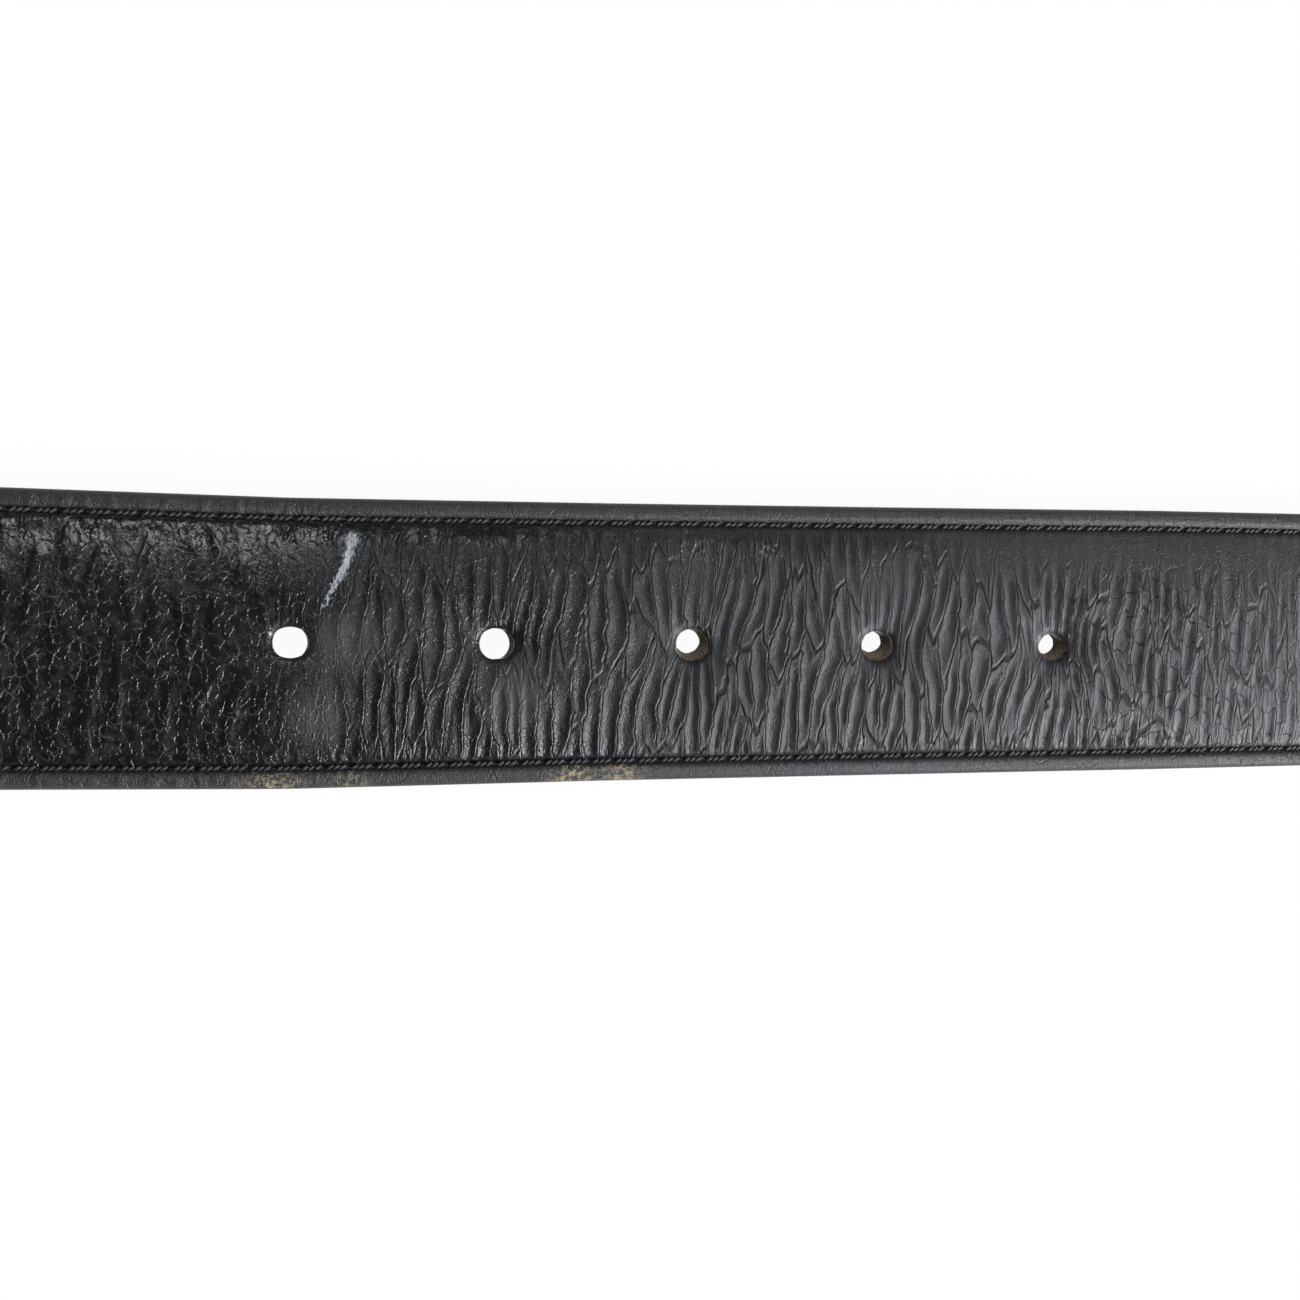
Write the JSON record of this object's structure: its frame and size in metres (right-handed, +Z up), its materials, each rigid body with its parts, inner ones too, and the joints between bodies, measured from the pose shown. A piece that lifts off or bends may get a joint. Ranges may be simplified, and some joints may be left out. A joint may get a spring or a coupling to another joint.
{
  "type": "leather belt",
  "caption": "Padded leather dress belt for trousers, with a stitched edge, a row of prong holes, a frame buckle with a pivoting prong, and a sliding keeper loop.",
  "frame": {"origin": "under the middle of the whole belt, on the surface it lies on", "axes": "+X along the strap from the buckle to the tip, +Y across the strap, +Z up out of the face leather"},
  "size_m": [1.088, 0.0456, 0.0093],
  "materials": {
    "face_leather": "creased full grain, satin black",
    "padding": "foamed filler, matt",
    "stiffener": "bonded leather fibre board, raw",
    "lining": "smooth split, matt",
    "thread": "twisted bonded polyester",
    "keeper_loop": "satin black",
    "steel": "plain steel",
    "buckle": "polished nickel plate"
  },
  "bodies": {
    "strap": {"face_leather": "face_leather", "padding": "padding", "stiffener": "stiffener", "lining": "lining", "needle_thread": "thread", "bobbin_thread": "thread", "binding_posts": "steel", "binding_screws": "steel"},
    "keeper": {"keeper_loop": "keeper_loop", "keeper_staple": "steel"},
    "buckle": {"buckle_frame": "buckle", "buckle_bar": "steel"},
    "prong": {"prong": "buckle"}
  },
  "joints": [
    {"name": "keeper_slide", "type": "slide", "parent": "strap", "child": "keeper", "axis": [1, 0, 0], "range_m": [-0.0055, 0.0055]},
    {"name": "buckle_hinge", "type": "hinge", "parent": "strap", "child": "buckle", "pos_m": [-0.5118, 0, 0.00285], "axis": [0, 1, 0], "range_deg": [-85, 40]},
    {"name": "prong_hinge", "type": "hinge", "parent": "buckle", "child": "prong", "pos_m": [-0.5118, 0, 0.00285], "axis": [0, 1, 0], "range_deg": [0, 100]}
  ]
}
